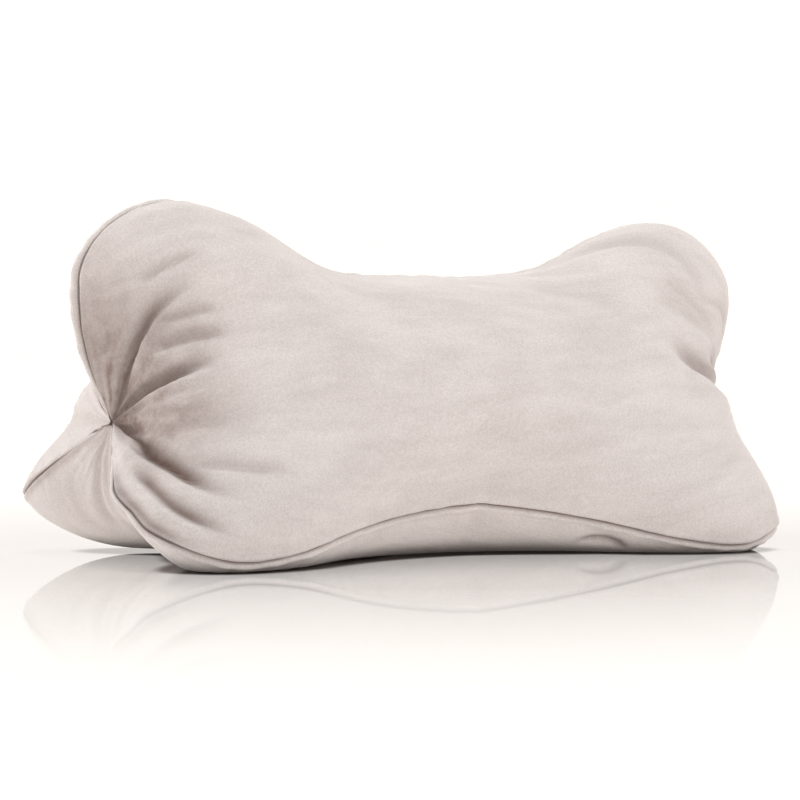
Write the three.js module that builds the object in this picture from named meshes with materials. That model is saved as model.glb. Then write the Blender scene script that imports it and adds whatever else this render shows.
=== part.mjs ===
import * as THREE from "three";

// A bone-shaped reading pillow: three alike velvet panels, sewn edge to edge and firmly filled.
// Millimetres. +X runs along the pillow, -Y is its front, +Z is up, and it rests on z = 0.

// Looks of the velvet.
const VELVET = { color: 0xd8cbc5, roughness: 0.95, metalness: 0 };

// Half of the pillow, from the point where the three seams meet at one end to the waist.
// x is the distance from the middle, and r is the distance from the axis of the pillow:
// along the seam on top, along the two seams that the pillow stands on, and along mid panel.
const SECTIONS = [
  { name: "end point", topX: 201, topR: 0, footX: 201, footR: 0, midX: 201, midR: 0 },
  { name: "end, inner", topX: 210, topR: 20, footX: 206, footR: 24, midX: 199, midR: 27 },
  { name: "end, middle", topX: 218, topR: 40, footX: 210, footR: 49.5, midX: 194, midR: 47 },
  { name: "end, outer", topX: 224, topR: 63, footX: 213, footR: 69, midX: 184, midR: 62 },
  { name: "tip", topX: 225, topR: 87.5, footX: 215, footR: 88, midX: 168, midR: 71 },
  { name: "tip to crest", topX: 217, topR: 104, footX: 212, footR: 108, midX: 152, midR: 76.5 },
  { name: "crest, outer", topX: 196, topR: 121.5, footX: 199, footR: 118, midX: 138, midR: 81 },
  { name: "crest", topX: 165, topR: 130, footX: 170, footR: 129, midX: 124, midR: 84.5 },
  { name: "crest, inner", topX: 124, topR: 121.5, footX: 128, footR: 121, midX: 103, midR: 86 },
  { name: "neck", topX: 82, topR: 99, footX: 84, footR: 105, midX: 70, midR: 86.5 },
  { name: "waist, outer", topX: 41, topR: 90, footX: 42, footR: 93, midX: 35, midR: 87 },
  { name: "waist", topX: 0, topR: 87.5, footX: 0, footR: 87.5, midX: 0, midR: 87.5 },
];

// How narrow the tips of the lobes are: 1 is a plain wave from panel to seam.
const TIP_SHARPNESS = 1.7;
// At both ends the seams stand up as ridges, which flatten out between these shares of the way.
const RIDGE_SHARPNESS = 1.45;
const RIDGE_FULL = 0.1;
const RIDGE_GONE = 0.27;

// The six lobes: the filling pushes each one along the axis, and away from it, differently.
const LOBES = [
  { end: -1, angle: 0, reach: 1.5, swell: -1 },
  { end: -1, angle: 120, reach: 0.5, swell: 1.5 },
  { end: -1, angle: 240, reach: 13, swell: -2.5 },
  { end: 1, angle: 0, reach: 1.5, swell: -5 },
  { end: 1, angle: 120, reach: -10, swell: 7 },
  { end: 1, angle: 240, reach: 4, swell: 3.5 },
];

// Uneven filling: at a share of the way from an end and an angle, the skin is pushed along the
// axis and away from it, less and less over a spread of shares and of degrees.
const BULGES = [
  { end: -1, share: 0.09, shareSpread: 0.06, angle: 281, angleSpread: 28, reach: 4, swell: 5.5 },
  { end: -1, share: 0.085, shareSpread: 0.025, angle: 292, angleSpread: 14, reach: 0, swell: -4 },
  { end: -1, share: 0.165, shareSpread: 0.05, angle: 134, angleSpread: 16, reach: 0, swell: -14 },
  { end: -1, share: 0.14, shareSpread: 0.07, angle: 205, angleSpread: 26, reach: 0, swell: -4.5 },
  { end: -1, share: 0.285, shareSpread: 0.06, angle: 134, angleSpread: 22, reach: 0, swell: 7.5 },
  { end: -1, share: 0.105, shareSpread: 0.045, angle: 116, angleSpread: 20, reach: 8, swell: 0 },
  { end: -1, share: 0.41, shareSpread: 0.045, angle: 0, angleSpread: 35, reach: 0, swell: -3 },
  { end: 1, share: 0.12, shareSpread: 0.06, angle: 55, angleSpread: 28, reach: 0, swell: -3 },
  { end: 1, share: 0.13, shareSpread: 0.05, angle: 120, angleSpread: 22, reach: -4, swell: 0 },
  { end: 1, share: 0.36, shareSpread: 0.06, angle: 118, angleSpread: 18, reach: 0, swell: -2.5 },
  { end: 1, share: 0.24, shareSpread: 0.045, angle: 0, angleSpread: 25, reach: 0, swell: 1.5 },
  { end: 1, share: 0.33, shareSpread: 0.05, angle: 0, angleSpread: 30, reach: 0, swell: -2 },
];

// The top seam winds over the crest of its lobes, by these degrees at these shares of the way.
const WINDING = [
  { share: 0, degrees: 0 },
  { share: 0.12, degrees: 2.5 },
  { share: 0.2, degrees: 0 },
  { share: 0.3, degrees: -4.5 },
  { share: 0.8, degrees: -5.5 },
  { share: 1, degrees: -2 },
];

// How the pillow lies: rolled towards its front, its axis just under a panel's radius up.
const ROLL = 3.9;
const AXIS_HEIGHT = 80.3;
// Height over which the cloth bends up from where it rests.
const REST_BEND = 2;

// The seams are drawn in by the thread.
const SEAM_DIP = 1.2;
const SEAM_DIP_WIDTH = 5;

// Pleats and creases. start and stop are shares of the way from the end point to the other end.
// from and to are places across the panel, from -1 at its first seam to 1 at its next.
const FRONT = 0;
const BELOW = 1;
const REAR = 2;
const CREASES = [
  { end: -1, panel: FRONT, start: 0.004, stop: 0.22, from: -0.16, to: -0.58, depth: 4.2, width: 9 },
  { end: -1, panel: FRONT, start: 0.004, stop: 0.19, from: 0.1, to: -0.08, depth: 3.6, width: 8 },
  { end: -1, panel: FRONT, start: 0.004, stop: 0.26, from: 0.6, to: 0.78, depth: 6, width: 8 },
  { end: -1, panel: FRONT, start: 0.09, stop: 0.28, from: 0.8, to: 0.91, depth: 4.2, width: 8 },
  { end: -1, panel: FRONT, start: 0.07, stop: 0.235, from: 0.955, to: 0.97, depth: 2.6, width: 7 },
  { end: -1, panel: FRONT, start: 0.1, stop: 0.22, from: -0.28, to: -0.23, depth: 2.6, width: 9 },
  { end: -1, panel: FRONT, start: 0.165, stop: 0.25, from: -0.6, to: -0.6, depth: 1.6, width: 9 },
  { end: -1, panel: FRONT, start: 0.165, stop: 0.215, from: -0.5, to: -0.32, depth: 1.6, width: 8 },
  { end: -1, panel: FRONT, start: 0.16, stop: 0.28, from: 0.65, to: 0.66, depth: 2.4, width: 9 },
  { end: -1, panel: BELOW, start: 0.004, stop: 0.2, from: 0.56, to: 0.54, depth: 1.6, width: 10 },
  { end: -1, panel: BELOW, start: 0.006, stop: 0.2, from: -0.3, to: -0.5, depth: 2, width: 12 },
  { end: -1, panel: BELOW, start: 0.11, stop: 0.22, from: 0.3, to: 0.42, depth: 1.2, width: 9 },
  { end: -1, panel: BELOW, start: 0.006, stop: 0.17, from: 0.1, to: -0.02, depth: 1.6, width: 11 },
  { end: -1, panel: REAR, start: 0.004, stop: 0.22, from: 0.38, to: 0.55, depth: 2.2, width: 11 },
  { end: -1, panel: REAR, start: 0.004, stop: 0.17, from: 0.04, to: 0.1, depth: 1.6, width: 10 },
  { end: -1, panel: REAR, start: 0.006, stop: 0.22, from: -0.43, to: -0.66, depth: 2.2, width: 11 },
  { end: 1, panel: FRONT, start: 0.004, stop: 0.2, from: 0.34, to: -0.13, depth: 3.9, width: 11 },
  { end: 1, panel: FRONT, start: 0.004, stop: 0.13, from: -0.1, to: -0.27, depth: 3.2, width: 11 },
  { end: 1, panel: FRONT, start: 0.006, stop: 0.15, from: 0.62, to: 0.7, depth: 3.2, width: 11 },
  { end: 1, panel: FRONT, start: 0.17, stop: 0.36, from: -0.5, to: -0.88, depth: 2.2, width: 10 },
  { end: 1, panel: FRONT, start: 0.12, stop: 0.27, from: -0.38, to: -0.48, depth: 2, width: 9 },
  { end: 1, panel: FRONT, start: 0.28, stop: 0.42, from: -0.36, to: -0.6, depth: 1.4, width: 10 },
  { end: 1, panel: BELOW, start: 0.004, stop: 0.18, from: -0.4, to: -0.55, depth: 3.9, width: 12 },
  { end: 1, panel: BELOW, start: 0.004, stop: 0.15, from: 0.05, to: 0.12, depth: 3.2, width: 11 },
  { end: 1, panel: BELOW, start: 0.006, stop: 0.2, from: 0.45, to: 0.6, depth: 3.9, width: 12 },
  { end: 1, panel: REAR, start: 0.004, stop: 0.22, from: 0.36, to: 0.52, depth: 3.9, width: 12 },
  { end: 1, panel: REAR, start: 0.004, stop: 0.15, from: -0.08, to: -0.02, depth: 3.2, width: 10 },
  { end: 1, panel: REAR, start: 0.006, stop: 0.2, from: -0.5, to: -0.7, depth: 3.9, width: 12 },
];
// A crease is never wider than this share of its distance from the axis.
const CREASE_SPREAD = 0.16;
// How much the cloth is pushed up on both sides of a crease.
const CREASE_SHOULDER = 0.5;

// Fineness of the skin: rings from end to end, and points round each of the three panels.
const RINGS = 66;
const PANEL_POINTS = 30;
// How much closer the rings stand at the ends than at the waist.
const END_CROWDING = 0.45;

const PANELS = 3;
const AROUND = PANELS * PANEL_POINTS;
const { degToRad, clamp, lerp, smoothstep } = THREE.MathUtils;

// A smooth line through one pair of columns of the sections, from the left end to the right.
function sideLine(xKey, rKey) {
  const left = SECTIONS.map((s) => new THREE.Vector3(-s[xKey], s[rKey], 0));
  const right = SECTIONS.slice(0, -1).map((s) => new THREE.Vector3(s[xKey], s[rKey], 0));
  return new THREE.CatmullRomCurve3([...left, ...right.reverse()], false, "centripetal");
}

const TOP_LINE = sideLine("topX", "topR");
const FOOT_LINE = sideLine("footX", "footR");
const MID_LINE = sideLine("midX", "midR");

// Where along the lines each ring stands, spaced by the mean of the top and mid lengths.
function ringStations() {
  const samples = 600;
  const lengths = [0];
  for (let i = 1; i <= samples; i += 1) {
    const before = (i - 1) / samples;
    const here = i / samples;
    const topStep = TOP_LINE.getPoint(here).distanceTo(TOP_LINE.getPoint(before));
    const midStep = MID_LINE.getPoint(here).distanceTo(MID_LINE.getPoint(before));
    lengths.push(lengths[i - 1] + (topStep + midStep) / 2);
  }
  const stations = [];
  let sample = 0;
  for (let ring = 0; ring <= RINGS; ring += 1) {
    const turn = (2 * Math.PI * ring) / RINGS;
    const share = ring / RINGS - (END_CROWDING * Math.sin(turn)) / (2 * Math.PI);
    const target = share * lengths[samples];
    while (sample < samples - 1 && lengths[sample + 1] < target) sample += 1;
    const part = (target - lengths[sample]) / (lengths[sample + 1] - lengths[sample]);
    stations.push({ share, at: clamp((sample + part) / samples, 0, 1) });
  }
  return stations;
}

// The signed difference of two angles, from -180 to 180 degrees.
function angleBetween(angle, from) {
  return THREE.MathUtils.euclideanModulo(angle - from + 180, 360) - 180;
}

// 1 on the middle of a lobe, 0 on the middles of the two panels beside it.
function lobeShare(angle, lobeAngle) {
  const off = angleBetween(angle, lobeAngle);
  return Math.abs(off) < 60 ? (1 + Math.cos(degToRad(3 * off))) / 2 : 0;
}

// How far the top seam winds at a share of the way, in degrees.
function winding(share) {
  const next = Math.max(1, WINDING.findIndex((row) => row.share >= share));
  const before = WINDING[next - 1];
  const after = WINDING[next];
  return lerp(before.degrees, after.degrees, (share - before.share) / (after.share - before.share));
}

// 1 on a seam and 0 on mid panel, falling steeply beside the seams at both ends.
function tipShare(share, angle) {
  const fromSeam = Math.abs(angleBetween(3 * angle, 0)) / 180;
  const sharp = 1 - smoothstep(Math.min(share, 1 - share), RIDGE_FULL, RIDGE_GONE);
  const round = ((1 + Math.cos(degToRad(3 * angle))) / 2) ** TIP_SHARPNESS;
  return lerp(round, (1 - fromSeam) ** RIDGE_SHARPNESS, sharp);
}

// What one bulge adds at a point of the skin, as a share of its height.
function bulgeShare(bulge, share, angle) {
  const fromEnd = bulge.end < 0 ? share : 1 - share;
  const along = (fromEnd - bulge.share) / bulge.shareSpread;
  const around = angleBetween(angle, bulge.angle) / bulge.angleSpread;
  return Math.exp(-along * along - around * around) * smoothstep(Math.min(share, 1 - share), 0, 0.03);
}

// A point of the smooth skin, before creases and rest. seamAngle is in degrees from the top seam.
function skinPoint({ share, at }, seamAngle) {
  const angle = seamAngle + winding(share) * lobeShare(seamAngle, 0);
  const seam = (seamAngle > 60 && seamAngle < 300 ? FOOT_LINE : TOP_LINE).getPoint(at);
  const mid = MID_LINE.getPoint(at);
  const lift = (seam.y - mid.y) / 2;
  const round = Math.max(0, lift / 4);
  const waves = lift * Math.cos(degToRad(3 * angle)) + round * Math.cos(degToRad(6 * angle));
  let r = (seam.y + mid.y) / 2 - round + waves;
  let x = lerp(mid.x, seam.x, tipShare(share, angle));
  const along = 2 * share - 1;
  for (const lobe of LOBES) {
    if (lobe.end * along <= 0) continue;
    const amount = Math.sin(Math.PI * Math.abs(along)) * lobeShare(angle, lobe.angle);
    x += lobe.end * lobe.reach * amount;
    r += lobe.swell * amount;
  }
  for (const bulge of BULGES) {
    const amount = bulgeShare(bulge, share, angle);
    x += bulge.end * bulge.reach * amount;
    r += bulge.swell * amount;
  }
  const turned = degToRad(angle + ROLL);
  return new THREE.Vector3(x, -r * Math.sin(turned), AXIS_HEIGHT + r * Math.cos(turned));
}

// How deep the creases and the seam lie at a point of the skin, in millimetres.
function depthAt(share, angle, radius) {
  const panel = Math.floor(angle / 120);
  const across = (angle - 120 * panel - 60) / 60;
  const halfPanel = degToRad(60) * radius;
  const fromSeam = (1 - Math.abs(across)) * halfPanel;
  let depth = SEAM_DIP * Math.exp(-((fromSeam / SEAM_DIP_WIDTH) ** 2));
  for (const crease of CREASES) {
    if (crease.panel !== panel) continue;
    const fromEnd = crease.end < 0 ? share : 1 - share;
    const part = (fromEnd - crease.start) / (crease.stop - crease.start);
    if (part <= 0 || part >= 1) continue;
    const width = Math.min(crease.width, CREASE_SPREAD * radius + 1);
    const off = ((across - lerp(crease.from, crease.to, part)) * halfPanel) / width;
    const fade = smoothstep(part, 0, 0.15) * (1 - smoothstep(part, 0.6, 1));
    const deepest = crease.depth * fade * (width / crease.width);
    depth += deepest * (1 - CREASE_SHOULDER * off * off) * Math.exp(-off * off);
  }
  return depth;
}

// Height of the resting cloth: flat on the surface, then a short bend into the free skin.
function restHeight(z) {
  if (z > REST_BEND) return z;
  if (z < -REST_BEND) return 0;
  return (z + REST_BEND) ** 2 / (4 * REST_BEND);
}

// The rings of the smooth skin, each an array of points round the axis.
function smoothRings(stations) {
  return stations.map((station) => {
    const ring = [];
    for (let k = 0; k < AROUND; k += 1) ring.push(skinPoint(station, (360 * k) / AROUND));
    return ring;
  });
}

// The outward normal of the smooth skin at one point, from its four neighbours.
function skinNormal(rings, i, k) {
  const next = rings[i][(k + 1) % AROUND];
  const last = rings[i][(k + AROUND - 1) % AROUND];
  const along = rings[i + 1][k].clone().sub(rings[i - 1][k]);
  return next.clone().sub(last).cross(along).normalize();
}

// All points of the finished skin: one end point, the rings, the other end point.
function skinPoints() {
  const stations = ringStations();
  const rings = smoothRings(stations);
  const points = [rings[0][0]];
  for (let i = 1; i < RINGS; i += 1) {
    for (let k = 0; k < AROUND; k += 1) {
      const point = rings[i][k].clone();
      const radius = Math.hypot(point.y, point.z - AXIS_HEIGHT);
      const depth = depthAt(stations[i].share, (360 * k) / AROUND, radius);
      point.addScaledVector(skinNormal(rings, i, k), -depth);
      point.z = restHeight(point.z);
      points.push(point);
    }
  }
  points.push(rings[RINGS][0]);
  return points;
}

// Triangles over the points, all facing out.
function skinFaces() {
  const faces = [];
  const at = (ring, k) => 1 + (ring - 1) * AROUND + (k % AROUND);
  const last = 1 + (RINGS - 1) * AROUND;
  for (let k = 0; k < AROUND; k += 1) {
    faces.push(0, at(1, k + 1), at(1, k));
    faces.push(at(RINGS - 1, k), at(RINGS - 1, k + 1), last);
    for (let ring = 1; ring < RINGS - 1; ring += 1) {
      const a = at(ring, k);
      const b = at(ring + 1, k);
      const c = at(ring + 1, k + 1);
      const d = at(ring, k + 1);
      faces.push(a, c, b, a, d, c);
    }
  }
  return faces;
}

// The pillow as one closed body, standing over the middle of its box.
function pillowGeometry() {
  const geometry = new THREE.BufferGeometry().setFromPoints(skinPoints());
  geometry.setIndex(skinFaces());
  geometry.computeBoundingBox();
  const middle = geometry.boundingBox.getCenter(new THREE.Vector3());
  geometry.translate(-middle.x, -middle.y, 0);
  geometry.computeVertexNormals();
  return geometry;
}

const pillow = new THREE.Mesh(pillowGeometry(), new THREE.MeshStandardMaterial(VELVET));
pillow.name = "pillow";

const part = new THREE.Group();
part.add(pillow);

export default part;
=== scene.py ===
"""A bone-shaped reading pillow in pale velvet, on the floor of a bright studio."""

from collections import namedtuple

import bpy
import numpy as np
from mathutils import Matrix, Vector


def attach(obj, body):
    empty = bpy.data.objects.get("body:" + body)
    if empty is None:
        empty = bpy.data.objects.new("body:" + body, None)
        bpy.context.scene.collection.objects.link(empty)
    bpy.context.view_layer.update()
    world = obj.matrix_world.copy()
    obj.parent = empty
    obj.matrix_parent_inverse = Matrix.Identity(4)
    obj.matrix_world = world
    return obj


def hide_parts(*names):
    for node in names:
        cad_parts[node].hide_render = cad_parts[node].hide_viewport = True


# Sizes of the pillow are in millimetres until the mesh is made.
MM = 0.001

# Half of the pillow, from the point where the three seams meet at one end to the waist.
# x is the distance from the middle, and r is the distance from the axis of the pillow:
# along the seam on top, along the two seams that it stands on, and along mid panel.
Section = namedtuple("Section", "name top_x top_r foot_x foot_r mid_x mid_r")
SECTIONS = [
    Section("end point", 201, 0, 201, 0, 201, 0),
    Section("end, inner", 210, 20, 206, 24, 199, 27),
    Section("end, middle", 218, 40, 210, 49.5, 194, 47),
    Section("end, outer", 224, 63, 213, 69, 184, 62),
    Section("tip", 225, 87.5, 215, 88, 168, 71),
    Section("tip to crest", 217, 104, 212, 108, 152, 76.5),
    Section("crest, outer", 196, 121.5, 199, 118, 138, 81),
    Section("crest", 165, 130, 170, 129, 124, 84.5),
    Section("crest, inner", 124, 121.5, 128, 121, 103, 86),
    Section("neck", 82, 99, 84, 105, 70, 86.5),
    Section("waist, outer", 41, 90, 42, 93, 35, 87),
    Section("waist", 0, 87.5, 0, 87.5, 0, 87.5),
]
TIP_SHARPNESS = 1.7
# At both ends the seams stand up as ridges, which flatten out between these shares of the way.
RIDGE_POWER = 1.45
RIDGE_FULL = 0.1
RIDGE_GONE = 0.27

# The six lobes: the filling pushes each one along the axis, and away from it, differently.
Lobe = namedtuple("Lobe", "end angle reach swell")
LOBES = [
    Lobe(-1, 0, 1.5, -1),
    Lobe(-1, 120, 0.5, 1.5),
    Lobe(-1, 240, 13, -2.5),
    Lobe(1, 0, 1.5, -5),
    Lobe(1, 120, -10, 7),
    Lobe(1, 240, 4, 3.5),
]
# Uneven filling: at a share of the way from an end and an angle, the skin is pushed along the
# axis and away from it, less and less over a spread of shares and of degrees.
Bulge = namedtuple("Bulge", "end share share_spread angle angle_spread reach swell")
BULGES = [
    Bulge(-1, 0.09, 0.06, 281, 28, 4, 5.5),
    Bulge(-1, 0.085, 0.025, 292, 14, 0, -4),
    Bulge(-1, 0.165, 0.05, 134, 16, 0, -14),
    Bulge(-1, 0.14, 0.07, 205, 26, 0, -4.5),
    Bulge(-1, 0.285, 0.06, 134, 22, 0, 7.5),
    Bulge(-1, 0.105, 0.045, 116, 20, 8, 0),
    Bulge(-1, 0.41, 0.045, 0, 35, 0, -3),
    Bulge(1, 0.12, 0.06, 55, 28, 0, -3),
    Bulge(1, 0.13, 0.05, 120, 22, -4, 0),
    Bulge(1, 0.36, 0.06, 118, 18, 0, -2.5),
    Bulge(1, 0.24, 0.045, 0, 25, 0, 1.5),
    Bulge(1, 0.33, 0.05, 0, 30, 0, -2),
]
# The top seam winds over the crest of its lobes, by these degrees at these shares of the way.
WIND_SHARES = (0, 0.12, 0.2, 0.3, 0.8, 1)
WIND_DEGREES = (0, 2.5, 0, -4.5, -5.5, -2)
ROLL = 3.9
AXIS_HEIGHT = 80.3
REST_BEND = 2

# Pleats and creases. start and stop are shares of the way from the end point to the other end.
# come and go are places across the panel, from -1 at its first seam to 1 at its next.
# lean makes the side towards the next seam steep, or with a minus the other side.
# shade is how dark the painted shade in it is, from 0 to 1.
FRONT, BELOW, REAR = 0, 1, 2
Crease = namedtuple("Crease", "end panel start stop come go bow depth width lean shade")
CREASES = [
    Crease(-1, FRONT, -0.05, 0.215, 0.13, -0.54, -0.2, 4.5, 5, 0.5, 0.75),
    Crease(-1, FRONT, -0.05, 0.175, 0.12, -0.08, 0.04, 4, 5, 0.5, 0.7),
    Crease(-1, FRONT, -0.03, 0.08, 0.35, 0.25, 0, 1.5, 4, 0.4, 0.3),
    Crease(-1, FRONT, -0.05, 0.25, 0.57, 0.775, 0, 5.5, 5.5, 0.5, 1),
    Crease(-1, FRONT, 0.1, 0.25, 0.8, 0.895, 0, 3.8, 4.5, 0.4, 0.8),
    Crease(-1, FRONT, 0.06, 0.235, 0.955, 0.97, 0, 2.2, 6, 0, 0.6),
    Crease(-1, FRONT, 0.095, 0.195, -0.28, -0.23, 0, 2.5, 6, 0.5, 0.4),
    Crease(-1, FRONT, 0.155, 0.235, -0.68, -0.63, 0, 1.8, 4, 0.5, 0.3),
    Crease(-1, FRONT, 0.135, 0.205, -0.44, -0.4, 0, 1.8, 5, 0.5, 0.35),
    Crease(-1, FRONT, 0.16, 0.28, 0.65, 0.66, 0, 2.4, 6, 0.5, 0.3),
    Crease(-1, FRONT, 0.12, 0.24, 0.4, 0.5, 0, 1.2, 10, 0.4, 0.1),
    Crease(-1, FRONT, 0.18, 0.33, -0.83, -0.68, 0, 1.4, 12, 0.3, 0.1),
    Crease(-1, BELOW, -0.05, 0.2, 0.975, 0.975, 0, 0.8, 4, 0, 0.4),
    Crease(-1, BELOW, -0.05, 0.2, 0.7, 0.56, -0.17, 1.5, 7, 0, 0.25),
    Crease(-1, BELOW, 0.05, 0.2, 0.82, 0.52, 0, 1, 7, 0, 0.1),
    Crease(-1, BELOW, 0.11, 0.22, 0.3, 0.42, 0, 1, 5, 0, 0.1),
    Crease(-1, BELOW, -0.05, 0.2, -0.25, -0.5, 0, 2, 12, 0, 0.1),
    Crease(-1, BELOW, -0.05, 0.17, 0.1, -0.02, 0, 1.2, 11, 0, 0.1),
    Crease(-1, REAR, -0.03, 0.22, 0.36, 0.55, 0, 2, 9, 0.3, 0.1),
    Crease(-1, REAR, -0.03, 0.17, 0.02, 0.1, 0, 1.4, 9, -0.3, 0.1),
    Crease(-1, REAR, -0.03, 0.22, -0.4, -0.66, 0, 2, 9, 0.3, 0.1),
    Crease(1, FRONT, 0.004, 0.22, 0.4, -0.13, -0.06, 5, 9, 0.4, 0.5),
    Crease(1, FRONT, -0.03, 0.15, -0.05, -0.27, 0, 4, 10, 0.4, 0.4),
    Crease(1, FRONT, -0.03, 0.16, 0.6, 0.7, 0, 4, 10, 0.4, 0.4),
    Crease(1, FRONT, 0.17, 0.36, -0.5, -0.88, 0, 2.2, 8, 0.5, 0.15),
    Crease(1, FRONT, 0.12, 0.27, -0.42, -0.53, 0, 2, 6, 0.5, 0.15),
    Crease(1, FRONT, 0.11, 0.27, -0.35, -0.43, 0, 2, 6, 0.5, 0.15),
    Crease(1, FRONT, 0.3, 0.42, -0.58, -0.86, 0, 1.2, 8, 0.3, 0.1),
    Crease(1, FRONT, 0.28, 0.42, -0.36, -0.6, 0, 1.4, 8, 0.3, 0.1),
    Crease(1, FRONT, 0.09, 0.19, -0.78, -0.5, 0, 1.4, 6, 0.3, 0.15),
    Crease(1, BELOW, -0.03, 0.2, -0.38, -0.55, 0, 4, 10, 0.4, 0.4),
    Crease(1, BELOW, -0.03, 0.17, 0.03, 0.12, 0, 3, 9, -0.4, 0.3),
    Crease(1, BELOW, -0.03, 0.22, 0.43, 0.6, 0, 4, 10, 0.4, 0.4),
    Crease(1, BELOW, 0.33, 0.39, -0.8, -0.8, -0.08, 3.5, 4, 0.3, 0.7),
    Crease(1, REAR, -0.03, 0.24, 0.34, 0.52, 0, 4, 10, 0.4, 0.4),
    Crease(1, REAR, -0.03, 0.18, -0.1, -0.02, 0, 3, 9, -0.4, 0.3),
    Crease(1, REAR, -0.03, 0.23, -0.48, -0.7, 0, 4, 10, 0.4, 0.4),
]
# A crease is never wider than this share of its distance from the axis.
CREASE_SPREAD = 0.16
# Height of the lip beside a crease, as a share of the depth.
CREASE_LIP = 0.35
# How far a leaning lip hangs over its crease, as a share of the depth.
CREASE_OVERLAP = 0.6
# Distance from the end point at which a crease reaches its full depth.
CREASE_DEEPENS = 55

# Grid of the cloth while it settles, and how much closer its rings stand at the ends.
RINGS = 160
AROUND = 150
END_CROWDING = 0.4
# Grid of the finished cloth, and how much closer its points stand along the seams.
FINE_RINGS = 252
FINE_AROUND = 390
SEAM_CROWDING = 0.5

# The settling: extra cloth gathered at both ends, the pressure inside, and how firmly the cloth holds.
GATHER = 0.1
GATHER_REACH = 0.1
STEPS = 40
SWEEPS = 8
PRESSURE = 0.1
FILLING = 0.03
DAMPING = 0.85
STIFFNESS = 0.15

# The seams: a groove, with a soft lip and small puckers on both sides.
GROOVE_DEPTH = 1.8
GROOVE_WIDTH = 0.9
LIP_HEIGHT = 0.8
LIP_PLACE = 2.6
LIP_WIDTH = 1.9
# Beside the top seam at the left end the rear panel swells past the seam.
SWELL_HEIGHT = 2.4
SWELL_PLACE = 5.5
SWELL_WIDTH = 4.5
PUCKER_HEIGHT = 0.3
PUCKER_REACH = 14

# Marks on the cloth: how wide the dark line of a seam is.
SEAM_MARK_WIDTH = 1.1
# Round the left end point, painted shade darkens the front panel where the cloth faces this way,
# down to this range of the way across the panel.
SHADED_FACING = (-0.97, -0.2, 0.1)
FACING_SHADE_REACH = 80
FACING_SHADE_EDGE = (0.5, 0.75)
# Darker patches on that panel: the way across it and the distance from the end point, both
# with a spread, and how dark each lies.
DarkPatch = namedtuple("DarkPatch", "across across_spread distance distance_spread strength")
DARK_PATCHES = [
    DarkPatch(0.32, 0.3, 67, 22, 0.55),
    DarkPatch(-0.2, 0.2, 72, 18, 0.4),
    DarkPatch(-0.68, 0.14, 84, 18, 0.2),
]
PANEL_OFFSET = 300

# Looks of the velvet: the nap stroked one way and the other, its pile, its seam lines, and the painted
# shade where the front panel faces left and in the creases, with darker patches.
NAP_LIGHT = (0.755, 0.7, 0.678, 1)
NAP_DARK = (0.655, 0.6, 0.578, 1)
# Painted shade where the front panel faces left near its end point, also the colour of the darker patches.
FACING_SHADE_AND_PATCH_COLOUR = (0.3, 0.205, 0.175, 1)
PILE_SHADE = (0.72, 0.68, 0.66, 1)
PILE_CONTRAST = 0.42
# Painted shade in the creases.
CREASE_SHADE = (0.26, 0.19, 0.165, 1)
SEAM_SHADE = (0.3, 0.22, 0.2, 1)

# The studio: how bright the surroundings are near the horizon and overhead, and the lamps.
WHITE = (1.1, 1.045, 1.0, 1)
HORIZON_LIGHT = 1.0
SKY_LIGHT = 0.0
FLOOR_SIDE = 120
FLOOR_COLOUR = (0.36, 0.36, 0.36, 1)
FLOOR_GLOW = 0.62
# Painted contact shadow: within this reach of another surface the floor darkens to this colour and its glow
# goes out.
CONTACT_SHADOW_COLOUR = (0.06, 0.035, 0.025, 1)
CONTACT_SHADOW_REACH = 0.012
CONTACT_SHADOW_RANGE = (0.35, 0.95)
FLOOR_ROUGHNESS = 0.03
FLOOR_NEAR = 0.26
FLOOR_FAR = 0.63
FLOOR_IOR = 1.4
Lamp = namedtuple("Lamp", "name x y z size power")
LAMPS = [
    Lamp("overhead", -0.3, 0, 1.9, 1.2, 15),
    Lamp("high", 0, -1.2, 1.8, 1.2, 10),
    Lamp("front right", 1.2, -1.3, 0.9, 1.0, 11),
    Lamp("low left", -1.6, -0.6, 0.3, 0.6, 3),
    Lamp("back left", -1.4, 1.0, 1.0, 1.2, 18),
    Lamp("back right", 1.2, 1.0, 1.3, 1.2, 13),
]

# The photograph's frame, and where it was taken from.
IMAGE = 800
YAW = 27.23
DISTANCE = 1460.8
CAMERA_HEIGHT = 110.2
CAMERA_SIDE = -10.2
FOCAL_PIXELS = 2372.3
HORIZON_ROW = 370.6
SENSOR = 36.0


def smoothstep(value, low, high):
    """0 below low, 1 above high, and a smooth rise between them."""
    part = np.clip((value - low) / (high - low), 0, 1)
    return part * part * (3 - 2 * part)


def curve_through(points, steps):
    """A centripetal Catmull-Rom curve through the points, with so many steps between two."""
    first = 2 * points[0] - points[1]
    last = 2 * points[-1] - points[-2]
    guides = np.vstack([first, points, last])
    part = np.linspace(0, 1, steps + 1)[:-1, None]
    spans = []
    for before, start, end, after in zip(guides, guides[1:], guides[2:], guides[3:]):
        gap_before = np.linalg.norm(start - before) ** 0.5
        gap = np.linalg.norm(end - start) ** 0.5
        gap_after = np.linalg.norm(after - end) ** 0.5
        speed_in = end - start + gap * ((start - before) / gap_before - (end - before) / (gap_before + gap))
        speed_out = end - start + gap * ((after - end) / gap_after - (after - start) / (gap + gap_after))
        spans.append(
            (2 * part**3 - 3 * part**2 + 1) * start
            + (part**3 - 2 * part**2 + part) * speed_in
            + (3 * part**2 - 2 * part**3) * end
            + (part**3 - part**2) * speed_out
        )
    spans.append(points[-1:])
    return np.vstack(spans)


def side_line(x_name, r_name):
    """The line through one pair of columns of the sections, from the left end to the right."""
    half = np.array([[getattr(s, x_name), getattr(s, r_name)] for s in SECTIONS], float)
    return curve_through(np.vstack([half * [-1, 1], half[-2::-1]]), 26)


def step_lengths(line):
    """The length of each step of a line."""
    return np.linalg.norm(np.diff(line, axis=0), axis=1)


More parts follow.
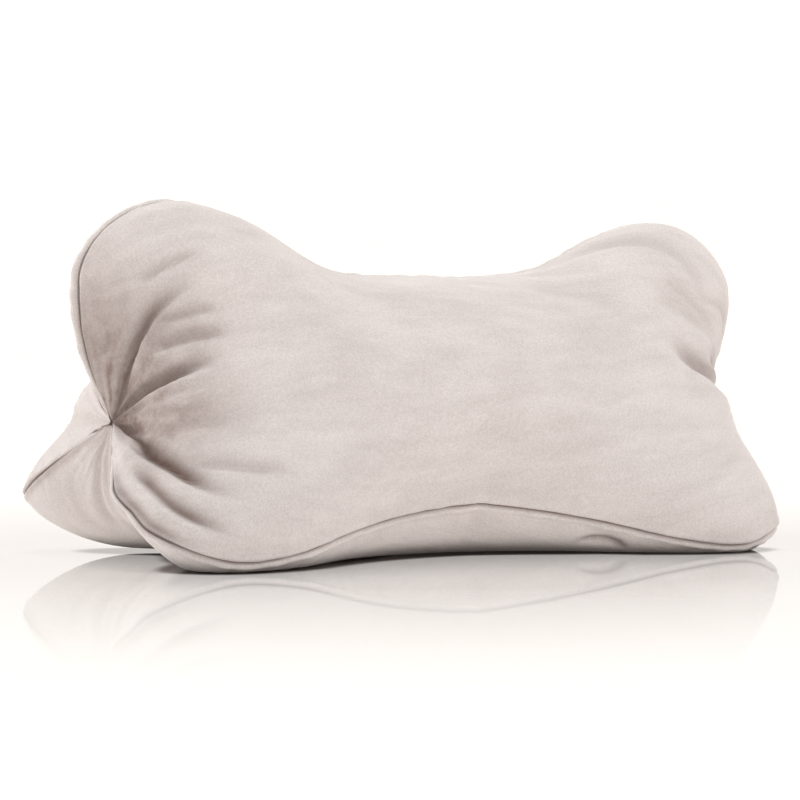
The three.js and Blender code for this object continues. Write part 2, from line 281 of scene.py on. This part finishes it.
def stations(rings):
    """The share of the way from end to end of each ring, and its place on each of three lines."""
    lines = [side_line(*names) for names in (("top_x", "top_r"), ("foot_x", "foot_r"), ("mid_x", "mid_r"))]
    steps = (step_lengths(lines[0]) + step_lengths(lines[2])) / 2
    length = np.concatenate([[0], np.cumsum(steps)])
    turn = np.linspace(0, 1, rings + 1)
    share = turn - END_CROWDING * np.sin(2 * np.pi * turn) / (2 * np.pi)
    places = [
        np.stack([np.interp(share * length[-1], length, column) for column in line.T], axis=1)
        for line in lines
    ]
    return share, places


def smooth_skin(rings, around):
    """The pillow without folds: one row of points a ring, from the left end to the right."""
    share, (top, foot, mid) = stations(rings)
    angle = np.tile(360 * np.arange(around) / around, (rings + 1, 1))
    on_foot = (angle > 60) & (angle < 300)
    near_top = np.where(on_foot, 0, (1 + np.cos(np.radians(3 * angle))) / 2)
    angle = angle + near_top * np.interp(share, WIND_SHARES, WIND_DEGREES)[:, None]
    seam_x = np.where(on_foot, foot[:, :1], top[:, :1])
    seam_r = np.where(on_foot, foot[:, 1:], top[:, 1:])
    three = np.cos(np.radians(3 * angle))
    six = np.cos(np.radians(6 * angle))
    from_seam = abs((angle + 60) % 120 - 60) / 60
    from_end = np.minimum(share, 1 - share)[:, None]
    sharp = 1 - smoothstep(from_end, RIDGE_FULL, RIDGE_GONE)
    round_tip = ((1 + three) / 2) ** TIP_SHARPNESS
    tip = round_tip + sharp * ((1 - from_seam) ** RIDGE_POWER - round_tip)
    lift = (seam_r - mid[:, 1:]) / 2
    bulge = np.maximum(0, lift / 4)
    r = (seam_r + mid[:, 1:]) / 2 - bulge + lift * three + bulge * six
    x = mid[:, :1] + (seam_x - mid[:, :1]) * tip
    along = (2 * share - 1)[:, None]
    for lobe in LOBES:
        off = (angle - lobe.angle + 180) % 360 - 180
        around_lobe = np.where(abs(off) < 60, (1 + np.cos(np.radians(3 * off))) / 2, 0)
        amount = np.where(lobe.end * along > 0, np.sin(np.pi * abs(along)), 0) * around_lobe
        x = x + lobe.end * lobe.reach * amount
        r = r + lobe.swell * amount
    for bulge in BULGES:
        off = (angle - bulge.angle + 180) % 360 - 180
        past = (share if bulge.end < 0 else 1 - share)[:, None] - bulge.share
        amount = np.exp(-((past / bulge.share_spread) ** 2) - (off / bulge.angle_spread) ** 2)
        amount = amount * smoothstep(from_end, 0, 0.03)
        x = x + bulge.end * bulge.reach * amount
        r = r + bulge.swell * amount
    turned = np.radians(angle + ROLL)
    z = AXIS_HEIGHT + r * np.cos(turned)
    return np.stack([x, -r * np.sin(turned), z], axis=-1), share


def rest(skin, bend):
    """The skin laid down: flat where it rests, then a short bend into the free skin."""
    z = skin[..., 2]
    laid = np.where(z > bend, z, np.where(z < -bend, 0, (z + bend) ** 2 / (4 * bend)))
    return np.concatenate([skin[..., :2], laid[..., None]], axis=-1)


def area_normals(skin):
    """Outward vectors at all points, as long as the area of cloth that each point stands for."""
    ahead = np.roll(skin, -1, axis=1)
    face = np.cross(ahead[1:] - skin[:-1], skin[1:] - ahead[:-1]) / 8
    face = face + np.roll(face, 1, axis=1)
    normals = np.zeros_like(skin)
    normals[:-1] += face
    normals[1:] += face
    return normals


def sizes(vectors):
    """The length of each vector."""
    return np.linalg.norm(vectors, axis=-1)


def unit(vectors):
    """The vectors at length 1."""
    return vectors / (np.linalg.norm(vectors, axis=-1, keepdims=True) + 1e-9)


class Cloth:
    """A closed tube of cloth on a grid, which settles over its filling and on the floor."""

    def __init__(self, skin, grow):
        self.filling = skin
        self.skin = skin.copy()
        self.speed = np.zeros_like(skin)
        ahead = skin[1:] - skin[:-1]
        ahead_mean = (ahead + np.roll(ahead, -1, axis=1)) / 2
        aside = (np.roll(skin, -1, axis=1) - skin) * grow[..., None]
        aside_mean = (aside[1:] + aside[:-1]) / 2
        self.ahead = sizes(ahead)
        self.aside = sizes(aside)
        self.falling = sizes(ahead_mean + aside_mean)
        self.rising = sizes(aside_mean - ahead_mean)
        self.two_ahead = sizes(skin[2:] - skin[:-2])
        self.two_aside = sizes(np.roll(skin, -2, axis=1) - skin) * grow
        self.area = sizes(area_normals(skin)).mean()
        column = np.arange(skin.shape[1])
        panel = skin.shape[1] // 3
        self.within_panel = (column % panel) != panel - 1

    @staticmethod
    def shift(start, end, length, stretched, pressed):
        """What moves start, and back end, towards their right distance."""
        gap = end - start
        now = sizes(gap) + 1e-9
        share = (now - length) / now / 2
        share = np.where(share > 0, share * stretched, share * pressed)
        return gap * share[..., None]

    def hold_ahead(self):
        """Keeps the lengths from ring to ring."""
        for odd in (0, 1):
            start = self.skin[odd:-1:2]
            end = self.skin[odd + 1::2]
            move = self.shift(start, end, self.ahead[odd::2], 1, 1)
            start += move
            end -= move

    def hold_aside(self):
        """Keeps the lengths round each ring."""
        skin = self.skin
        move = self.shift(skin[:, 0::2], skin[:, 1::2], self.aside[:, 0::2], 1, 1)
        skin[:, 0::2] += move
        skin[:, 1::2] -= move
        move = self.shift(skin[:, 1::2], np.roll(skin[:, 0::2], -1, axis=1), self.aside[:, 1::2], 1, 1)
        skin[:, 1::2] += move
        skin[:, 0::2] -= np.roll(move, 1, axis=1)

    def hold_diagonals(self):
        """Keeps the cloth from shearing."""
        for odd in (0, 1):
            start = self.skin[odd:-1:2]
            end = self.skin[odd + 1::2]
            move = self.shift(start, np.roll(end, -1, axis=1), self.falling[odd::2], 0.5, 0.5)
            start += move
            end -= np.roll(move, 1, axis=1)
            move = self.shift(end, np.roll(start, -1, axis=1), self.rising[odd::2], 0.5, 0.5)
            end += move
            start -= np.roll(move, 1, axis=1)

    def hold_bends(self):
        """Resists sharp bends, but not across a seam."""
        skin = self.skin
        for first in range(4):
            start = skin[first:-2:4]
            end = skin[first + 2::4][:len(start)]
            move = self.shift(start, end, self.two_ahead[first::4], 0, STIFFNESS)
            start += move
            end -= move
            here = np.arange(first, AROUND - AROUND % 4, 4)
            there = (here + 2) % AROUND
            move = self.shift(skin[:, here], skin[:, there], self.two_aside[:, here], 0, STIFFNESS)
            move = move * self.within_panel[here][None, :, None]
            skin[:, here] += move
            skin[:, there] -= move

    def sweep(self):
        """One pass over all that holds the cloth."""
        self.hold_ahead()
        self.hold_aside()
        self.hold_diagonals()
        self.hold_bends()
        self.skin[0] = self.skin[0].mean(axis=0)
        self.skin[-1] = self.skin[-1].mean(axis=0)
        np.maximum(self.skin[..., 2], 0, out=self.skin[..., 2])

    def settle(self, steps):
        """Lets the filling press the cloth out while the cloth holds together."""
        for _ in range(steps):
            before = self.skin.copy()
            self.speed *= DAMPING
            self.speed += PRESSURE * area_normals(self.skin) / self.area
            self.speed += FILLING * (self.filling - self.skin)
            self.skin += self.speed
            for _ in range(SWEEPS):
                self.sweep()
            self.speed = self.skin - before
        return self.skin


def past_the_ends(grid, rows):
    """The grid with rows added past both end points, taken from the opposite side."""
    half = grid.shape[1] // 2
    before = np.roll(grid[1:rows + 1][::-1], half, axis=1)
    after = np.roll(grid[-rows - 1:-1][::-1], half, axis=1)
    return np.concatenate([before, grid, after])


def low_part(field, reach, passes):
    """The broad part of a field on the grid, without its folds."""
    count = 2 * reach + 1
    for _ in range(passes):
        rows = np.cumsum(past_the_ends(field, reach + 1), axis=0)
        field = (rows[count:] - rows[:-count])[:field.shape[0]] / count
        wrapped = np.concatenate([field[:, -reach - 1:], field, field[:, :reach]], axis=1)
        columns = np.cumsum(wrapped, axis=1)
        field = (columns[:, count:] - columns[:, :-count]) / count
    return field


def settled_skin():
    """The cloth gathered at both ends, on the coarse grid, without its long creases."""
    smooth, share = smooth_skin(RINGS, AROUND)
    laid = rest(smooth, REST_BEND)
    from_end = np.minimum(share, 1 - share)
    grow = 1 + GATHER * np.exp(-((from_end / GATHER_REACH) ** 2))[:, None] * np.ones(AROUND)
    cloth = Cloth(laid, grow)
    skin = cloth.settle(STEPS)
    return skin - low_part(skin - laid, 6, 3)


def cubic_sample(grid, at):
    """Rows of the grid at places between its rows, on a smooth curve through four of them."""
    first = np.floor(at).astype(int)
    part = (at - first)[:, None, None]
    weights = (
        (-part + 2 * part**2 - part**3) / 2,
        (2 - 5 * part**2 + 3 * part**3) / 2,
        (part + 4 * part**2 - 3 * part**3) / 2,
        (-part**2 + part**3) / 2,
    )
    return sum(weight * grid[first + k - 1] for k, weight in enumerate(weights))


def fine_across():
    """Places of the fine grid's columns across one panel, from -1 at its first seam."""
    count = FINE_AROUND // 3
    step = 2 * np.arange(count) / count - 1
    return step + SEAM_CROWDING * np.sin(np.pi * step) / np.pi


def fine_columns():
    """The fine grid's columns round the pillow, counted in columns of the coarse grid."""
    part = (fine_across() + 1) / 2
    return np.concatenate([(panel + part) * AROUND / 3 for panel in range(3)])


def fine_skin(skin):
    """The settled cloth on the fine grid."""
    rows = cubic_sample(past_the_ends(skin, 2), 2 + np.linspace(0, RINGS, FINE_RINGS + 1))
    wrapped = np.concatenate([rows[:, -2:], rows, rows[:, :3]], axis=1).swapaxes(0, 1)
    return cubic_sample(wrapped, 2 + fine_columns()).swapaxes(0, 1)


def panel_lengths(skin):
    """For each point of the fine skin, its distance round the ring from both seams of its panel."""
    columns = FINE_AROUND // 3
    steps = sizes(np.roll(skin, -1, axis=1) - skin).reshape(len(skin), 3, columns)
    from_first = np.cumsum(steps, axis=-1) - steps
    from_next = steps.sum(axis=-1, keepdims=True) - from_first
    return from_first, from_next


def furrow(off, lean):
    """How far the cloth beside a crease goes out, and sideways, for a depth of 1 and a width of 1."""
    side = np.sign(off)
    reach = 1 - 0.7 * lean * side
    lip = CREASE_LIP * (1 + lean * side)
    valley = (1 + lip) * np.exp(-((abs(off) / reach) ** 1.5))
    out = lip * np.exp(-((abs(off) / 1.4) ** 2)) - valley
    overlap = CREASE_OVERLAP * np.maximum(0, lean * side) * np.exp(-((abs(off) / reach - 1.1) ** 2) * 2.5)
    return out, -side * overlap


def fold_shade(off, lean):
    """How dark the painted shade beside a crease is: softly darker on its gentle side, sharply on its steep
    one.
    """
    past = off + 0.6 * lean
    return np.exp(-((abs(past) / (0.8 - 0.8 * lean * np.sign(past))) ** 2))


def creased(skin):
    """The skin with its long pleats and creases, and how dark the painted shade lies at each point in them.
    """
    share = stations(FINE_RINGS)[0]
    from_first, _ = panel_lengths(skin)
    columns = FINE_AROUND // 3
    across = fine_across()
    length = np.cumsum(sizes(np.diff(skin, axis=0, prepend=skin[:1])), axis=0).mean(axis=1)
    out = np.zeros((len(skin), 3, columns))
    aside = np.zeros_like(out)
    light = np.ones_like(out)
    for crease in CREASES:
        from_end = share if crease.end < 0 else 1 - share
        pole = length if crease.end < 0 else length[-1] - length
        part = (from_end - crease.start) / (crease.stop - crease.start)
        place = crease.come + (crease.go - crease.come) * part + 4 * crease.bow * part * (1 - part)
        fade = smoothstep(part, 0, 0.3) * (1 - smoothstep(part, 0.7, 1))
        for ring in np.flatnonzero((part > 0) & (part < 1)):
            line = from_first[ring, crease.panel]
            width = min(crease.width, CREASE_SPREAD * pole[ring] + 1)
            off = (line - np.interp(place[ring], across, line)) / width
            depth = crease.depth * fade[ring] * min(1, pole[ring] / CREASE_DEEPENS)
            rise, push = furrow(off, crease.lean)
            out[ring, crease.panel] += depth * rise
            aside[ring, crease.panel] += depth * push
            # Painted shade beside the crease.
            light[ring, crease.panel] *= 1 - crease.shade * fade[ring] * fold_shade(off, crease.lean)
    shape = (len(skin), FINE_AROUND, 1)
    ahead = unit(np.roll(skin, -1, axis=1) - np.roll(skin, 1, axis=1))
    folded = skin + unit(area_normals(skin)) * out.reshape(shape) + ahead * aside.reshape(shape)
    return folded, 1 - light.reshape(shape[:2])


def waves(along, spans, seed):
    """An uneven wave: a sum of sines of the given spans, between about -1 and 1."""
    random = np.random.default_rng(seed)
    phases = random.uniform(0, 2 * np.pi, len(spans))
    sines = [np.sin(2 * np.pi * along / span + phase) for span, phase in zip(spans, phases)]
    return sum(sines) / len(spans) ** 0.5


def sewn(skin):
    """The skin with its seams drawn in between two soft lips, and small puckers beside them."""
    distance = np.minimum(*panel_lengths(skin)).reshape(len(skin), FINE_AROUND)
    side = np.arange(FINE_AROUND) * 6 // FINE_AROUND
    length = np.cumsum(sizes(np.diff(skin, axis=0, prepend=skin[:1])), axis=0)
    lip = np.zeros_like(distance)
    pucker = np.zeros_like(distance)
    for k in range(6):
        seam = (FINE_AROUND // 3) * ((k + 1) // 2 % 3)
        along = length[:, seam:seam + 1]
        height = 1.8 if k == 2 else 1
        lip += (side == k) * height * (1 + 0.3 * waves(along, (17, 29, 53), 10 + k))
        pucker += (side == k) * waves(along, (11, 15, 23), 20 + k)
    out = LIP_HEIGHT * lip * np.exp(-(((distance - LIP_PLACE) / LIP_WIDTH) ** 2))
    out += PUCKER_HEIGHT * pucker * smoothstep(distance, 0, 4) * np.exp(-((distance / PUCKER_REACH) ** 2))
    rear_end = smoothstep(0.36 - stations(FINE_RINGS)[0], 0, 0.12)[:, None] * (side == 5)
    out += SWELL_HEIGHT * rear_end * np.exp(-(((distance - SWELL_PLACE) / SWELL_WIDTH) ** 2))
    out -= GROOVE_DEPTH * np.exp(-((distance / GROOVE_WIDTH) ** 2))
    from_pole = np.minimum(np.arange(len(skin)), np.arange(len(skin))[::-1])[:, None]
    out *= smoothstep(from_pole, 0, 8)
    return skin + unit(area_normals(skin)) * out[..., None]


def pillow_skin():
    """The finished cloth, centred and on the floor, in millimetres, and how dark the painted shade of its
    creases is.
    """
    folded, shade = creased(fine_skin(settled_skin()))
    skin = rest(sewn(folded), 0.8)
    skin[0] = skin[0].mean(axis=0)
    skin[-1] = skin[-1].mean(axis=0)
    middle = (skin.min(axis=(0, 1)) + skin.max(axis=(0, 1))) / 2
    skin[..., :2] -= middle[:2]
    skin[..., 2] -= skin[..., 2].min()
    return skin, shade


def seam_marks(skin):
    """How close each point lies to a seam, from 0 to 1."""
    distance = np.minimum(*panel_lengths(skin)).reshape(len(skin), FINE_AROUND)
    return np.exp(-((distance / SEAM_MARK_WIDTH) ** 2))


def facing_shade_and_patch_marks(skin):
    """Painted shade where the front panel faces left near the left end point, and darker patches there,
    from 0 to 1.
    """
    panel = FINE_AROUND // 3
    facing = (unit(area_normals(skin)) @ np.array(SHADED_FACING))[:, :panel]
    from_pole = sizes(skin - skin[0, 0])[:, :panel]
    across = np.linspace(-1, 1, panel)
    above = 1 - smoothstep(across, *FACING_SHADE_EDGE)
    shaded = smoothstep(facing, 0.45, 0.95) * np.exp(-((from_pole / FACING_SHADE_REACH) ** 2)) * above
    for dark_patch in DARK_PATCHES:
        off_across = (across - dark_patch.across) / dark_patch.across_spread
        off_distance = (from_pole - dark_patch.distance) / dark_patch.distance_spread
        shaded = np.maximum(shaded, dark_patch.strength * np.exp(-(off_across ** 2) - off_distance ** 2))
    marks = np.zeros(skin.shape[:2])
    marks[:, :panel] = shaded
    return low_part(marks, 2, 2)


def cloth_places(skin):
    """Each point's place on the flat cloth: along the pillow, and round it from the panel's middle."""
    from_first, from_next = panel_lengths(skin)
    around = (from_first - from_next).reshape(len(skin), FINE_AROUND) / 2
    along = np.cumsum(sizes(np.diff(skin, axis=0, prepend=skin[:1])), axis=0)
    panel = np.repeat(np.arange(3), FINE_AROUND // 3) * PANEL_OFFSET
    return np.stack([along, around, panel + np.zeros_like(along)], axis=-1) * MM


def grid_mesh(name, skin):
    """A closed mesh over the grid, with a fan of triangles at each end point."""
    rings = skin.shape[0] - 2
    around = skin.shape[1]
    points = np.concatenate([skin[0, :1], skin[1:-1].reshape(-1, 3), skin[-1, :1]]) * MM
    here = np.arange(around)
    ahead = (here + 1) % around
    start = 1 + np.arange(rings - 1)[:, None] * around
    quads = np.stack([start + here, start + ahead, start + around + ahead, start + around + here], axis=-1)
    last = len(points) - 1
    final_ring = 1 + (rings - 1) * around
    left = [(0, int(b), int(a)) for a, b in zip(1 + here, 1 + ahead)]
    right = [(last, int(a), int(b)) for a, b in zip(final_ring + here, final_ring + ahead)]
    faces = [tuple(int(v) for v in quad[::-1]) for quad in quads.reshape(-1, 4)]
    mesh = bpy.data.meshes.new(name)
    mesh.from_pydata(points.tolist(), [], left + faces + right)
    mesh.shade_smooth()
    mesh.update()
    return mesh


class Nodes:
    """Adds nodes to a material and links them."""

    def __init__(self, material):
        material.use_nodes = True
        self.tree = material.node_tree
        self.shader = self.tree.nodes["Principled BSDF"]

    def feed(self, socket, value):
        """Links a node's output to a socket, or sets the socket to a plain value."""
        if isinstance(value, bpy.types.NodeSocket):
            self.tree.links.new(value, socket)
        else:
            socket.default_value = value

    def add(self, kind):
        """A new node."""
        return self.tree.nodes.new(kind)

    def blend(self, share, first, second):
        """A mix of two surfaces."""
        node = self.add("ShaderNodeMixShader")
        self.feed(node.inputs[0], share)
        self.feed(node.inputs[1], first)
        self.feed(node.inputs[2], second)
        return node.outputs[0]

    def corners(self, reach):
        """1 in the open, falling to 0 where another surface comes close."""
        node = self.add("ShaderNodeAmbientOcclusion")
        node.inputs["Distance"].default_value = reach
        return node.outputs["AO"]

    def attribute(self, name, output="Fac"):
        """A value stored on the mesh."""
        node = self.add("ShaderNodeAttribute")
        node.attribute_name = name
        return node.outputs[output]

    def noise(self, place, scale, detail=2, roughness=0.5):
        """Soft random values from 0 to 1."""
        node = self.add("ShaderNodeTexNoise")
        self.feed(node.inputs["Vector"], place)
        node.inputs["Scale"].default_value = scale
        node.inputs["Detail"].default_value = detail
        node.inputs["Roughness"].default_value = roughness
        return node.outputs["Fac"]

    def spread(self, value, low, high, to_low=0.0, to_high=1.0, kind="SMOOTHSTEP"):
        """A value taken from one range to another."""
        node = self.add("ShaderNodeMapRange")
        node.interpolation_type = kind
        ends = {"From Min": low, "From Max": high, "To Min": to_low, "To Max": to_high}
        for name, end in ends.items():
            node.inputs[name].default_value = end
        self.feed(node.inputs["Value"], value)
        return node.outputs["Result"]

    def math(self, operation, first, second):
        """A sum, product or the like of two values."""
        node = self.add("ShaderNodeMath")
        node.operation = operation
        self.feed(node.inputs[0], first)
        self.feed(node.inputs[1], second)
        return node.outputs[0]

    def stretch(self, place, scale):
        """Coordinates with each axis scaled on its own."""
        node = self.add("ShaderNodeMapping")
        self.feed(node.inputs["Vector"], place)
        node.inputs["Scale"].default_value = scale
        return node.outputs[0]

    def mix(self, share, first, second, blend="MIX"):
        """A mix of two colours."""
        node = self.add("ShaderNodeMix")
        node.data_type = "RGBA"
        node.blend_type = blend
        self.feed(node.inputs[0], share)
        self.feed(node.inputs[6], first)
        self.feed(node.inputs[7], second)
        return node.outputs[2]

    def bump(self, height, distance, under=None):
        """Small relief over an earlier relief."""
        node = self.add("ShaderNodeBump")
        node.inputs["Strength"].default_value = 1
        node.inputs["Distance"].default_value = distance
        self.feed(node.inputs["Height"], height)
        if under is not None:
            self.feed(node.inputs["Normal"], under)
        return node.outputs[0]


def velvet():
    """Pale velvet: soft patches where the pile lies differently, fine pile, painted shade in creases and
    where the front panel faces left, darker patches, and dark seam lines.
    """
    material = bpy.data.materials.new("velvet")
    nodes = Nodes(material)
    place = nodes.add("ShaderNodeTexCoord").outputs["Object"]
    cloth = nodes.attribute("cloth", "Vector")
    patches = nodes.noise(nodes.stretch(cloth, (14, 26, 1)), 1, 3, 0.55)
    streaks = nodes.noise(nodes.stretch(cloth, (28, 110, 1)), 1, 3, 0.6)
    grain = nodes.noise(place, 900, 2, 0.7)
    tone = nodes.math("ADD", nodes.math("MULTIPLY", patches, 0.6), nodes.math("MULTIPLY", streaks, 0.4))
    colour = nodes.mix(nodes.spread(tone, 0.3, 0.7), NAP_DARK, NAP_LIGHT)
    colour = nodes.mix(nodes.spread(grain, 0.35, 0.65, 0, PILE_CONTRAST), colour, PILE_SHADE, "MULTIPLY")
    uneven = nodes.spread(nodes.noise(place, 70, 4, 0.65), 0.35, 0.65, 0.7, 1.15)
    # Painted shade where the front panel faces left near its end point, with the darker patches there, made
    # uneven.
    facing_shade_and_patches = nodes.math("MULTIPLY", nodes.attribute("facing_shade_and_patches"), uneven)
    colour = nodes.mix(facing_shade_and_patches, colour, FACING_SHADE_AND_PATCH_COLOUR, "MULTIPLY")
    # Painted shade in the creases.
    colour = nodes.mix(nodes.attribute("crease"), colour, CREASE_SHADE, "MULTIPLY")
    colour = nodes.mix(nodes.attribute("seam"), colour, SEAM_SHADE, "MULTIPLY")
    nodes.feed(nodes.shader.inputs["Base Color"], colour)
    crushed = nodes.bump(nodes.noise(cloth, 130, 2), 0.0005)
    pile = nodes.bump(nodes.noise(place, 1400, 2, 0.7), 0.00025, crushed)
    nodes.feed(nodes.shader.inputs["Normal"], pile)
    nodes.shader.inputs["Roughness"].default_value = 0.9
    nodes.shader.inputs["Specular IOR Level"].default_value = 0.2
    nodes.shader.inputs["Sheen Weight"].default_value = 0.35
    nodes.shader.inputs["Sheen Roughness"].default_value = 0.35
    nodes.shader.inputs["Sheen Tint"].default_value = (1, 0.97, 0.95, 1)
    return material


def store(mesh, name, kind, grid):
    """Stores a value of each point of the grid on the mesh."""
    values = np.concatenate([grid[0, :1], grid[1:-1].reshape(-1, *grid.shape[2:]), grid[-1, :1]])
    attribute = mesh.attributes.new(name, kind, "POINT")
    field = "vector" if kind == "FLOAT_VECTOR" else "value"
    attribute.data.foreach_set(field, values.ravel().astype(np.float32))


def build_pillow():
    """The pillow, which stands for the solid of the same name."""
    skin, shade = pillow_skin()
    mesh = grid_mesh("velvet_pillow", skin)
    # Painted shade in the creases.
    store(mesh, "crease", "FLOAT", shade)
    # Painted shade where the front panel faces left near its end point, and darker patches there.
    store(mesh, "facing_shade_and_patches", "FLOAT", facing_shade_and_patch_marks(skin))
    store(mesh, "seam", "FLOAT", seam_marks(skin))
    store(mesh, "cloth", "FLOAT_VECTOR", cloth_places(skin))
    pillow = bpy.data.objects.new("velvet_pillow", mesh)
    bpy.context.collection.objects.link(pillow)
    pillow.data.materials.append(velvet())
    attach(pillow, "root")
    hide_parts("pillow")
    return pillow


def floor_material():
    """White acrylic, polished round the pillow, lit a little from below except where things touch it, where
    a painted shadow darkens it.
    """
    material = bpy.data.materials.new("floor")
    nodes = Nodes(material)
    base = nodes.shader
    base.inputs["Roughness"].default_value = 1
    base.inputs["Specular IOR Level"].default_value = 0
    base.inputs["Emission Color"].default_value = WHITE
    # Painted contact shadow: darker colour and no glow where another surface comes close.
    open_floor = nodes.spread(nodes.corners(CONTACT_SHADOW_REACH), *CONTACT_SHADOW_RANGE)
    nodes.feed(base.inputs["Base Color"], nodes.mix(open_floor, CONTACT_SHADOW_COLOUR, FLOOR_COLOUR))
    nodes.feed(base.inputs["Emission Strength"], nodes.math("MULTIPLY", open_floor, FLOOR_GLOW))
    gloss = nodes.add("ShaderNodeBsdfGlossy")
    gloss.inputs["Roughness"].default_value = FLOOR_ROUGHNESS
    mirror = nodes.add("ShaderNodeFresnel")
    mirror.inputs["IOR"].default_value = FLOOR_IOR
    glow = nodes.add("ShaderNodeEmission")
    glow.inputs["Color"].default_value = WHITE
    away = nodes.add("ShaderNodeVectorMath")
    away.operation = "LENGTH"
    nodes.feed(away.inputs[0], nodes.add("ShaderNodeTexCoord").outputs["Object"])
    far = nodes.spread(away.outputs["Value"], FLOOR_NEAR, FLOOR_FAR, kind="LINEAR")
    near = nodes.blend(mirror.outputs[0], base.outputs[0], gloss.outputs[0])
    whole = nodes.blend(far, near, glow.outputs[0])
    nodes.feed(nodes.tree.nodes["Material Output"].inputs["Surface"], whole)
    return material


def build_floor():
    """A wide floor."""
    mesh = bpy.data.meshes.new("floor")
    side = FLOOR_SIDE / 2
    corners = [(-side, -side, 0), (side, -side, 0), (side, side, 0), (-side, side, 0)]
    mesh.from_pydata(corners, [], [(0, 1, 2, 3)])
    mesh.materials.append(floor_material())
    floor = bpy.data.objects.new("floor", mesh)
    bpy.context.collection.objects.link(floor)


def build_world():
    """White surroundings, less bright overhead than near the horizon."""
    world = bpy.data.worlds.new("studio")
    bpy.context.scene.world = world
    world.use_nodes = True
    nodes = world.node_tree.nodes
    link = world.node_tree.links.new
    direction = nodes.new("ShaderNodeTexCoord")
    split = nodes.new("ShaderNodeSeparateXYZ")
    height = nodes.new("ShaderNodeMapRange")
    height.interpolation_type = "SMOOTHSTEP"
    height.inputs["From Min"].default_value = 0.2
    height.inputs["From Max"].default_value = 0.4
    height.inputs["To Min"].default_value = HORIZON_LIGHT
    height.inputs["To Max"].default_value = SKY_LIGHT
    link(direction.outputs["Generated"], split.inputs[0])
    link(split.outputs["Z"], height.inputs["Value"])
    background = nodes["Background"]
    background.inputs["Color"].default_value = WHITE
    link(height.outputs["Result"], background.inputs["Strength"])


def build_lights():
    """Large soft lamps round the pillow."""
    for lamp in LAMPS:
        light = bpy.data.lights.new(lamp.name, "AREA")
        light.shape = "DISK"
        light.size = lamp.size
        light.energy = lamp.power
        stand = bpy.data.objects.new(lamp.name, light)
        bpy.context.collection.objects.link(stand)
        stand.location = (lamp.x, lamp.y, lamp.z)
        aim_at(stand, (0, 0, 0.1))


def aim_at(thing, target):
    """Turns a light or camera so that it looks at a point."""
    direction = Vector(target) - thing.location
    thing.rotation_euler = direction.to_track_quat("-Z", "Y").to_euler()


def build_camera():
    """The camera where the photograph was taken, level, with a small shift for its horizon."""
    camera = bpy.data.cameras.new("camera")
    camera.sensor_width = SENSOR
    camera.lens = FOCAL_PIXELS * SENSOR / IMAGE
    camera.shift_y = (HORIZON_ROW - IMAGE / 2) / IMAGE
    view = bpy.data.objects.new("camera", camera)
    bpy.context.collection.objects.link(view)
    yaw = np.radians(YAW)
    ahead = np.array([np.sin(yaw), np.cos(yaw)])
    aside = np.array([np.cos(yaw), -np.sin(yaw)])
    place = -DISTANCE * ahead + CAMERA_SIDE * aside
    view.location = (place[0] * MM, place[1] * MM, CAMERA_HEIGHT * MM)
    view.rotation_euler = (np.pi / 2, 0, -yaw)
    bpy.context.scene.camera = view


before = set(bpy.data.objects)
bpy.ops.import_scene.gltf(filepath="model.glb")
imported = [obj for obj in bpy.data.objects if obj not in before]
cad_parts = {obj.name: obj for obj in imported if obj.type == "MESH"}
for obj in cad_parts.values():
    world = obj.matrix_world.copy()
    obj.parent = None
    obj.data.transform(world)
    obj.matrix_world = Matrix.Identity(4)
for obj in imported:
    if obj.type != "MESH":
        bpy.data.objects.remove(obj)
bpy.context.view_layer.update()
build_camera()
build_pillow()
build_floor()
build_world()
build_lights()
bpy.context.scene.view_settings.view_transform = "Standard"
